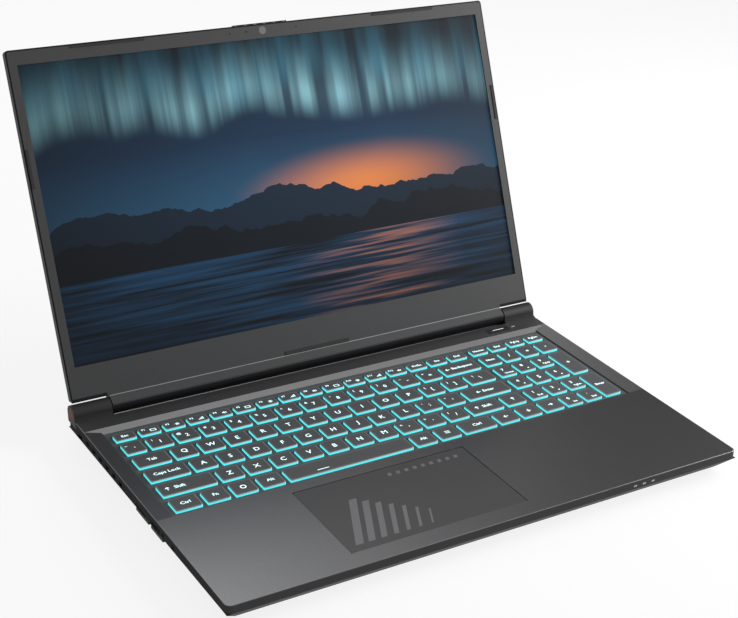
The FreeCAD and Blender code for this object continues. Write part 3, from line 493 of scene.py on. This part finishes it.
for name, boxes in KEYS.items():
    letters = bmesh.new()
    for (low, high), words in zip(boxes, LEGENDS[name]):
        top = low.z + CAP_RINGS[-1][1] * (high.z - low.z) + LIFT
        spot = Vector(((low.x + high.x) / 2, (low.y + high.y) / 2, top))
        if words in ARROW_TURNS or words in ("M", "dash", "menu", "ring"):
            mark(letters, words, spot)
        elif "|" in words:
            stamp(letters, words[0], PAIR_HIGH, spot + PAIR_SPOT)
            stamp(letters, words[2], SHIFTED_HIGH, spot + SHIFTED_SPOT)
        elif ";" in words:
            digit, second = words.split(";")
            stamp(letters, digit, WORD_HIGH, spot + DIGIT_SPOT)
            if second in ARROW_TURNS:
                polygon(letters, spot + UNDER_SPOT, SMALL_ARROW, ARROW_TURNS[second])
            else:
                stamp(letters, second, UNDER_HIGH, spot + UNDER_SPOT)
        elif name == "function_row_keys" and words[1:].isdigit():
            stamp(letters, words, NUMBER_HIGH, spot + NUMBER_SPOT)
            icon(letters, int(words[1:]), spot + ICON_SPOT)
        elif name == "function_row_keys":
            stamp(letters, words, SMALL_HIGH, spot)
        elif words[0] in SIDE_ARROWS:
            if name == "left_shift_key":
                spot.x -= LONG_KEY_SHIFT
            stamp(letters, words[1:], WORD_HIGH, spot + ARROWED_SPOT)
            mark(letters, SIDE_ARROWS[words[0]], spot + len(words) * ARROW_STEP)
        elif len(words) == 1:
            stamp(letters, words, LETTER_HIGH, spot)
        else:
            stamp(letters, words, WORD_HIGH if high.x - low.x > WORD_KEY_LEAST else SMALL_HIGH, spot)
    finished(name + "_legends", letters, name, (etched,), (0, 0, 1))

# Touchpad
# Glass-filled plate, etched matt, with a printed pattern of pale slanted bars along its left end
# and a row of small slanted tiles along its back edge.

pad_film = grained("etched_touch_film", "#4a4a4b", "#525253", 0.6, 0.008, 0.4, 0.48, metallic=0.5)
dress(pad_film, "touchpad")
pad_print = grained("pale_screen_print", "#6d6d6f", "#777779", 0.6, 0.005, 0.45, 0.55, metallic=0.4)
# Sizes of the print, in millimetres; the bars get thinner and shorter towards the middle of the plate
STRIPES, STRIPE_EDGE, STRIPE_PITCH, STRIPE_SLANT = 7, 6, 8.5, 0.45
STRIPE_WIDE, STRIPE_THINNER, STRIPE_TALL, STRIPE_SHORTER = 5.2, 0.65, 44, 5.0
TILES, TILE_EDGE, TILE_DROP, TILE_PITCH = 9, 10, 8, 6
TILE = ((-1.6, -1.6), (1.0, -1.6), (1.6, 1.6), (-1.0, 1.6))
pad_low, pad_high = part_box("touchpad")
print_shape = bmesh.new()
front_left = Vector((pad_low.x, pad_low.y, pad_high.z + LIFT))
for i in range(STRIPES):
    left, foot = STRIPE_EDGE + STRIPE_PITCH * i, STRIPE_EDGE
    right = left + STRIPE_WIDE - STRIPE_THINNER * i
    tall = STRIPE_TALL - STRIPE_SHORTER * i
    lean = STRIPE_SLANT * tall
    polygon(print_shape, front_left,
            ((left, foot), (right, foot), (right + lean, foot + tall), (left + lean, foot + tall)))
for i in range(TILES):
    aside, ahead = (TILE_EDGE + TILE_PITCH * i) / 1000, TILE_DROP / 1000
    polygon(print_shape, pad_high - Vector((aside, ahead, -LIFT)), TILE)
finished("touchpad_print", print_shape, "touchpad", (pad_print,), (0, 0, 1))

# Power button and status lights
# A painted ABS bar let into the rear deck, with a white light line along its back edge.
# Small clear light pipes stand in the front wall and beside the button.

# Place of the light line in metres, its outline in millimetres
LINE_ASIDE, LINE_AHEAD = 0.001, 0.0024
LINE = oblong(-4.8, -0.32, 4.8, 0.32)
dress(black_abs, "power_button")
button_low, button_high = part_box("power_button")
line_spot = Vector(((button_low.x + button_high.x) / 2 + LINE_ASIDE, button_high.y - LINE_AHEAD,
                    button_high.z + LIFT))
white_pipe = surface("white_light_pipe", base_color=linear("#f2f2f0"), roughness=0.3,
                     emission_color=linear("#ffffff"), emission_strength=0.45)
# The unlit pipes are given a faint painted glow, so that they read pale
faint_glow_pipe = surface("unlit_pipe_painted_glow", base_color=linear("#9a9b9b"), roughness=0.35,
                   emission_color=linear("#9a9b9b"), emission_strength=0.2)
line_shape = bmesh.new()
polygon(line_shape, line_spot, LINE)
finished("power_button_light", line_shape, "power_button", (white_pipe,), (0, 0, 1))
dress(faint_glow_pipe, "status_lights")

# Lid cover
# Pressed aluminium lid, painted near black, with the hinge barrel moulded on along its lower edge.
# The pale paint on the barrel face's upper edge and on the lip studs is a painted highlight.

lid_paint = grained("dark_metallic_paint", "#161618", "#1d1d1f", 0.45, 0.01, 0.4, 0.48,
                    metallic=0.2, specular_ior_level=0.1)
dress(lid_paint, "lid_cover")
pale_highlight_paint = grained("lid_paint_painted_highlight", "#98999b", "#a8a9ab", 0.4, 0.01, 0.4, 0.5)

# Screen bezel
# One moulded frame of dark grey ABS snapped over the panel, lightly textured.

bezel_abs = grained("bezel_moulded_abs", "#363637", "#3d3d3e", 0.5, 0.02, 0.5, 0.6, specular_ior_level=0.3)
dress(bezel_abs, "screen_bezel")

# Display panel
# Matt liquid crystal panel behind the bezel. Its lit face shows a night lake under mountains:
# pale aurora in the sky, a warm glow behind the ridges, blue water below.

dress(black_abs, "display_panel")
hinge = Vector(next(joint["pos_m"] for joint in frame["joints"] if joint["name"] == "lid_hinge"))
LID_LEAN = math.radians(67.5)
SCREEN = oblong(-0.1721, 0.02913, 0.1721, 0.22273)
PANEL_FACE, PANEL_FILM = 0.00025, 0.0001
# Places and sizes in the picture are shares of its width and height.
# A curtain has its folds across the sky, the height and swing of its foot, its reach and its colour.
# A ridge has its peaks across the sky, its height, its swing and its colour.
SKY_STOPS = ((0.0, "#070d16"), (0.3, "#1b3a55"), (0.42, "#2b5877"), (0.66, "#16304a"), (1.0, "#060a12"))
CURTAINS = ((2.6, 0.74, 0.34, 0.40, "#3f7f98"), (3.4, 0.68, 0.30, 0.30, "#a6e4f0"))
CURTAIN_FOOT, RAYS_A_FOLD, RAY_LOW, RAY_HIGH, RAY_LEAST = 0.14, 7, 0.32, 0.72, 0.1
GLOW_SPOT, GLOW_STRETCH, GLOW_REACH = (0.68, 0.44, 0.0), (1.3, 2.4, 0.0), 0.42
RIDGES = ((3.2, 0.44, 0.34, "#152637"), (5.5, 0.36, 0.26, "#0a121c"))
SHORE, RIPPLES, WATER_STOPS = 0.27, (3.0, 60.0, 1.0), ((0.35, "#060b13"), (0.75, "#2a5f8c"))
PATH_HALF, PATH_CORE, GLINT_LOW, GLINT_HIGH = 0.2, 0.02, 0.48, 0.7
DIM_SPOT, DIM_STARTS, DIM_ENDS, DIM_LEAST = (0.58, 0.62, 0.0), 0.15, 0.75, 0.15


def on_lid(x, rise, out):
    """Point on the opened lid: along the hinge, up the lid, out of the screen."""
    return Vector((x, hinge.y + rise * math.cos(LID_LEAN) - out * math.sin(LID_LEAN),
                   hinge.z + rise * math.sin(LID_LEAN) + out * math.cos(LID_LEAN)))


lit_panel = surface("lit_panel_face", base_color=linear("#05070a"), roughness=0.45,
                    specular_ior_level=0.12, emission_strength=1.0)
tree = lit_panel.node_tree
sheet_uv = add(tree, "ShaderNodeUVMap", {"uv_map": "UVMap"})
spread = add(tree, "ShaderNodeSeparateXYZ", None, {"Vector": sheet_uv.outputs["UV"]})
across, upward = spread.outputs["X"], spread.outputs["Y"]
sky = add(tree, "ShaderNodeValToRGB", None, {"Fac": upward})
colour_stops(sky.color_ramp, SKY_STOPS)
picture = sky.outputs["Color"]
# Two hanging curtains of pale light, sharp along the foot and fading upwards, with fine upright rays
for folds, base, swing, reach, code in CURTAINS:
    fold = add(tree, "ShaderNodeTexNoise", {"noise_dimensions": "1D", "Scale": folds, "Detail": 1.5},
               {"W": across})
    foot = add(tree, "ShaderNodeMath", {"operation": "MULTIPLY_ADD", 1: swing, 2: base - swing / 2},
               {0: fold.outputs["Fac"]})
    above = add(tree, "ShaderNodeMath", {"operation": "SUBTRACT"}, {0: upward, 1: foot.outputs["Value"]})
    edge = add(tree, "ShaderNodeMapRange",
               {"From Max": CURTAIN_FOOT, "interpolation_type": "SMOOTHSTEP"},
               {"Value": above.outputs["Value"]})
    fade = add(tree, "ShaderNodeMapRange",
               {"From Min": reach, "From Max": 0.0, "interpolation_type": "SMOOTHSTEP"},
               {"Value": above.outputs["Value"]})
    rays = add(tree, "ShaderNodeTexNoise",
               {"noise_dimensions": "1D", "Scale": RAYS_A_FOLD * folds, "Detail": 3.0}, {"W": across})
    comb = add(tree, "ShaderNodeMapRange",
               {"From Min": RAY_LOW, "From Max": RAY_HIGH, "To Min": RAY_LEAST},
               {"Value": rays.outputs["Fac"]})
    lit = add(tree, "ShaderNodeMath", {"operation": "MULTIPLY"},
              {0: edge.outputs["Result"], 1: fade.outputs["Result"]})
    combed = add(tree, "ShaderNodeMath", {"operation": "MULTIPLY"},
                 {0: lit.outputs["Value"], 1: comb.outputs["Result"]})
    curtain = add(tree, "ShaderNodeMix", {"data_type": "RGBA", 7: linear(code)},
                  {"Factor": combed.outputs["Value"], 6: picture})
    picture = curtain.outputs[2]
# A flat oval of warm light behind the ridges
off_glow = add(tree, "ShaderNodeVectorMath", {"operation": "SUBTRACT", 1: GLOW_SPOT},
               {0: sheet_uv.outputs["UV"]})
glow_flat = add(tree, "ShaderNodeVectorMath", {"operation": "MULTIPLY", 1: GLOW_STRETCH},
                {0: off_glow.outputs["Vector"]})
glow_far = add(tree, "ShaderNodeVectorMath", {"operation": "LENGTH"}, {0: glow_flat.outputs["Vector"]})
glow = add(tree, "ShaderNodeMapRange",
           {"From Min": GLOW_REACH, "From Max": 0.0, "interpolation_type": "SMOOTHSTEP"},
           {"Value": glow_far.outputs["Value"]})
warm_sky = add(tree, "ShaderNodeMix", {"data_type": "RGBA", 7: linear("#e8884a")},
               {"Factor": glow.outputs["Result"], 6: picture})
picture = warm_sky.outputs[2]
for peaks, base, swing, code in RIDGES:
    crest = add(tree, "ShaderNodeTexNoise", {"noise_dimensions": "1D", "Scale": peaks, "Detail": 6.0},
                {"W": across})
    height = add(tree, "ShaderNodeMath", {"operation": "MULTIPLY_ADD", 1: swing, 2: base - swing / 2},
                 {0: crest.outputs["Fac"]})
    below = add(tree, "ShaderNodeMath", {"operation": "LESS_THAN"}, {0: upward, 1: height.outputs["Value"]})
    ridge = add(tree, "ShaderNodeMix", {"data_type": "RGBA", 7: linear(code)},
                {"Factor": below.outputs["Value"], 6: picture})
    picture = ridge.outputs[2]
# Water in long flat ripples, with a path of warm glints under the glow
ripple_map = add(tree, "ShaderNodeMapping", {"Scale": RIPPLES}, {"Vector": sheet_uv.outputs["UV"]})
ripple = add(tree, "ShaderNodeTexNoise", {"Scale": 1.0, "Detail": 3.0},
             {"Vector": ripple_map.outputs["Vector"]})
water = add(tree, "ShaderNodeValToRGB", None, {"Fac": ripple.outputs["Fac"]})
colour_stops(water.color_ramp, WATER_STOPS)
aside = add(tree, "ShaderNodeMath", {"operation": "SUBTRACT", 1: GLOW_SPOT[0]}, {0: across})
near = add(tree, "ShaderNodeMath", {"operation": "ABSOLUTE"}, {0: aside.outputs["Value"]})
path = add(tree, "ShaderNodeMapRange", {"From Min": PATH_HALF, "From Max": PATH_CORE},
           {"Value": near.outputs["Value"]})
glint = add(tree, "ShaderNodeMapRange", {"From Min": GLINT_LOW, "From Max": GLINT_HIGH},
            {"Value": ripple.outputs["Fac"]})
streak = add(tree, "ShaderNodeMath", {"operation": "MULTIPLY"},
             {0: path.outputs["Result"], 1: glint.outputs["Result"]})
warm_water = add(tree, "ShaderNodeMix", {"data_type": "RGBA", 7: linear("#e08a52")},
                 {"Factor": streak.outputs["Value"], 6: water.outputs["Color"]})
shore = add(tree, "ShaderNodeMath", {"operation": "LESS_THAN", 1: SHORE}, {0: upward})
lake = add(tree, "ShaderNodeMix", {"data_type": "RGBA"},
           {"Factor": shore.outputs["Value"], 6: picture, 7: warm_water.outputs[2]})
# The picture darkens towards its corners
from_middle = add(tree, "ShaderNodeVectorMath", {"operation": "DISTANCE", 1: DIM_SPOT},
                  {0: sheet_uv.outputs["UV"]})
dimming = add(tree, "ShaderNodeMapRange",
              {"From Min": DIM_STARTS, "From Max": DIM_ENDS, "To Min": 1.0, "To Max": DIM_LEAST},
              {"Value": from_middle.outputs["Value"]})
shaded = add(tree, "ShaderNodeVectorMath", {"operation": "SCALE"},
             {0: lake.outputs[2], "Scale": dimming.outputs["Result"]})
tree.links.new(shaded.outputs["Vector"], tree.nodes["Principled BSDF"].inputs["Emission Color"])

panel_shape = bmesh.new()
uv_layer = panel_shape.loops.layers.uv.new("UVMap")
front_ring = [panel_shape.verts.new(on_lid(x, rise, PANEL_FACE + PANEL_FILM)) for x, rise in SCREEN]
back_ring = [panel_shape.verts.new(on_lid(x, rise, PANEL_FACE)) for x, rise in SCREEN]
front_face = panel_shape.faces.new(front_ring)
for loop, spot in zip(front_face.loops, oblong(0, 0, 1, 1)):
    loop[uv_layer].uv = spot
panel_shape.faces.new(back_ring[::-1])
bridge(panel_shape, back_ring, front_ring, 0, False)
finished("lit_panel", panel_shape, "lid", (lit_panel,))

# Hinge inlay
# Two slanted bars of orange film let into the outer end of the left hinge cap.

# Corners of the bars about the hinge pin, along the base and up, in millimetres
INLAY_BARS = (((-4.2, -1.6), (-1.2, -1.6), (1.6, 4.0), (-0.4, 4.4)),
              ((-0.2, -2.4), (1.4, -2.4), (3.4, 1.8), (2.2, 2.8)))
orange_film = grained("orange_inlay_film", "#8c3d1f", "#9c4826", 0.6, 0.005, 0.5, 0.6, specular_ior_level=0.2)
inlay = bmesh.new()
cap_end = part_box("hinge_covers")[0].x - LIFT
for points in INLAY_BARS:
    inlay.faces.new([inlay.verts.new((cap_end, hinge.y + y / 1000, hinge.z + z / 1000))
                     for y, z in reversed(points)])
finished("hinge_inlay", inlay, "base", (orange_film,), (-1, 0, 0))

# Hinge barrel face
# Moulded strip of the bezel's grey ABS, clipped along the front of the barrel under the bezel's foot.
# Its upper edge is painted pale as a highlight.

FACE_HALF = 0.1532
# Section of the strip up the lid and out of the screen, in millimetres; its second side is the edge with the
# painted highlight
FACE_PROFILE = ((6.9, 1.5), (6.55, 2.2), (1.6, 5.95), (0.5, 5.8), (0.5, 4.4), (6.0, 0.6))
HIGHLIGHT_SIDE = 1
strip = bmesh.new()
ends = [[strip.verts.new(on_lid(x, rise / 1000, out / 1000)) for rise, out in FACE_PROFILE]
        for x in (-FACE_HALF, FACE_HALF)]
for i in range(len(FACE_PROFILE)):
    side = strip.faces.new((ends[0][i - 1], ends[0][i], ends[1][i], ends[1][i - 1]))
    side.material_index = int(i == HIGHLIGHT_SIDE)
for end in ends:
    strip.faces.new(end)
finished("hinge_face", strip, "lid", (bezel_abs, pale_highlight_paint))

# Microphone holes and camera light
# Two drilled holes and one unlit light hole in the top bar of the bezel, drawn as flat black discs of painted
# shade.

BEZEL_FACE, TOP_BAR = 0.00145, 0.228
# Place along the bar, in metres, and radius, in millimetres
HOLES = ((-0.025, 0.7), (0.025, 0.7), (-0.01275, 0.8))
HOLE_SIDES = 16
holes = bmesh.new()
for middle, radius in HOLES:
    holes.faces.new([holes.verts.new(on_lid(middle + x / 1000, TOP_BAR + y / 1000, BEZEL_FACE + LIFT))
                     for x, y in circle(radius, HOLE_SIDES)])
finished("bezel_holes", holes, "lid", (recess_shade,), (0, -1, 0))

# Lid foot shade
# A thin sheet of the lid's dark paint laid on the bezel's lower edge on both sides of the barrel, just clear
# of the hinge towers; its dark band is partly the lid cover's own dark edge, partly painted shade.

FOOT_INNER, FOOT_OUTER, FOOT_LOW, FOOT_HIGH = 0.1541, 0.1782, 0.0069, 0.0091
FOOT_BACK, FOOT_FRONT = 0.0005, BEZEL_FACE + 0.00005
feet = bmesh.new()
for side in (-1, 1):
    back, front = [[feet.verts.new(on_lid(side * x, rise, out))
                    for x, rise in oblong(FOOT_INNER, FOOT_LOW, FOOT_OUTER, FOOT_HIGH)]
                   for out in (FOOT_BACK, FOOT_FRONT)]
    bridge(feet, back, front, 0, False)
    feet.faces.new(front)
    feet.faces.new(back[::-1])
finished("lid_foot_shade", feet, "lid", (lid_paint,))

# Finger lip
# Six oval studs moulded on the front of the lip at the lid's top edge, painted pale as highlights.

LIP_FACE, LIP_MIDDLE = -0.00175, 0.23264
STUDS, FIRST_STUD, STUD_PITCH, STUD_SIDES = 6, -0.0186, 0.00725, 20
STUD_WIDE, STUD_TALL, STUD_OUT, STUD_ROOT = 0.0014, 0.00034, 0.0003, -0.0002
# Each ring's share of the stud's outline and its height over the lip
STUD_RINGS = ((1.0, STUD_ROOT), (1.0, 0.6 * STUD_OUT), (0.75, STUD_OUT))
studs = bmesh.new()
for i in range(STUDS):
    middle = FIRST_STUD + i * STUD_PITCH
    rings = [[studs.verts.new(on_lid(middle + STUD_WIDE * x, LIP_MIDDLE + STUD_TALL * y, LIP_FACE + out))
              for x, y in circle(share, STUD_SIDES)] for share, out in STUD_RINGS]
    for lower, upper in zip(rings, rings[1:]):
        bridge(studs, lower, upper)
    studs.faces.new(rings[-1])
    studs.faces.new(rings[0][::-1])
finished("lip_studs", studs, "lid", (pale_highlight_paint,))

# Camera module
# Round window of smoked, etched glass let into the top bar of the bezel, flush with it.

lens_glass = grained("smoked_lens_glass", "#6a6a6b", "#707071", 0.5, 0.002, 0.3, 0.4, specular_ior_level=0.4)
dress(lens_glass, "camera_module")

# Table top and backdrop
# Pale table before a white backdrop. Both show white to the eye and in mirror images of them,
# and light the computer more weakly.

FLOOR_HALF, FLOOR_LEVEL, FLOOR_WHITE, FILL_LIGHT = 8, -0.0001, 0.85, 0.3


def looked_at(tree):
    """Socket that is one for what the camera sees, by itself, mirrored or through glass."""
    rays = add(tree, "ShaderNodeLightPath")
    seen = add(tree, "ShaderNodeMath", {"operation": "MAXIMUM"},
               {0: rays.outputs["Is Camera Ray"], 1: rays.outputs["Is Glossy Ray"]})
    shown = add(tree, "ShaderNodeMath", {"operation": "MAXIMUM"},
                {0: seen.outputs["Value"], 1: rays.outputs["Is Transmission Ray"]})
    return shown.outputs["Value"]


floor_mesh = bpy.data.meshes.new("table_top")
floor_plan = oblong(-FLOOR_HALF, -FLOOR_HALF, FLOOR_HALF, FLOOR_HALF)
floor_mesh.from_pydata([(x, y, FLOOR_LEVEL) for x, y in floor_plan], [], [(0, 1, 2, 3)])
floor = bpy.data.objects.new("table_top", floor_mesh)
bpy.context.scene.collection.objects.link(floor)
pale = surface("pale_table", base_color=linear("#f2f2f2"), roughness=0.9)
tree = pale.node_tree
white = add(tree, "ShaderNodeEmission", {"Color": (1, 1, 1, 1), "Strength": 1.0})
share = add(tree, "ShaderNodeMath", {"operation": "MULTIPLY", 1: FLOOR_WHITE}, {0: looked_at(tree)})
both = add(tree, "ShaderNodeMixShader", None, {
    0: share.outputs["Value"], 1: tree.nodes["Principled BSDF"].outputs["BSDF"],
    2: white.outputs["Emission"]})
tree.links.new(both.outputs["Shader"], tree.nodes["Material Output"].inputs["Surface"])
floor_mesh.materials.append(pale)

world = bpy.data.worlds.new("studio")
bpy.context.scene.world = world
world.use_nodes = True
tree = world.node_tree
level = add(tree, "ShaderNodeMapRange", {"To Min": FILL_LIGHT, "To Max": 1.0}, {"Value": looked_at(tree)})
backdrop = tree.nodes["Background"]
backdrop.inputs["Color"].default_value = (1, 1, 1, 1)
tree.links.new(level.outputs["Result"], backdrop.inputs["Strength"])

# Lamps and dark card
# Soft panel lamps: a strong one on the right, a weak one above it, one behind the lid.
# A card of black felt far right is what the palm rest mirrors at its dark end.


def panel_lamp(name, spot, aim, size, power):
    """Square lamp at a spot, turned to what it lights; its width in metres and its power in watts."""
    lamp = bpy.data.lights.new(name, "AREA")
    lamp.size = size
    lamp.energy = power
    holder = bpy.data.objects.new(name, lamp)
    holder.location = spot
    holder.rotation_euler = (Vector(aim) - Vector(spot)).to_track_quat("-Z", "Y").to_euler()
    holder.visible_camera = False
    bpy.context.scene.collection.objects.link(holder)


panel_lamp("side_panel", (1.0, -0.2, 0.5), (0.05, 0.0, 0.06), 0.6, 17)
panel_lamp("top_panel", (0.7, 0.2, 1.3), (0.0, 0.05, 0.05), 1.0, 1.0)
panel_lamp("rear_panel", (0.1, 1.2, 1.0), (-0.1, -0.1, 0), 0.7, 4)

CARD_REAR, CARD_FRONT, CARD_TALL = (0.62, 0.75), (1.2, -0.2), 1.4
card_mesh = bpy.data.meshes.new("dark_card")
card_mesh.from_pydata([(*CARD_REAR, 0), (*CARD_FRONT, 0), (*CARD_FRONT, CARD_TALL), (*CARD_REAR, CARD_TALL)],
                      [], [(0, 1, 2, 3)])
card = bpy.data.objects.new("dark_card", card_mesh)
bpy.context.scene.collection.objects.link(card)
card.visible_camera = False
card.visible_diffuse = False
card.visible_shadow = False
felt = surface("black_felt", base_color=linear("#101010"), roughness=1.0)
card_mesh.materials.append(felt)

# View
# Long lens above and off the front left corner; its place and turn are fitted to the photograph.

lens = bpy.data.cameras.new("camera")
lens.sensor_width = 36
lens.lens = 75.56
lens.shift_x = -0.0835
lens.shift_y = 0.0483
view_right = Vector((0.84753693, -0.52868968, 0.04656584))
view_down = Vector((-0.19798935, -0.39635595, -0.89649438))
view_forward = Vector((0.49242397, 0.75059256, -0.44060123))
view_spot = Vector((-0.464791, -0.780733, 0.506889))
camera = bpy.data.objects.new("camera", lens)
camera.matrix_world = Matrix.Translation(view_spot) @ Matrix(
    (view_right, -view_down, -view_forward)).transposed().to_4x4()
bpy.context.scene.collection.objects.link(camera)
bpy.context.scene.camera = camera
bpy.context.scene.view_settings.view_transform = "Standard"
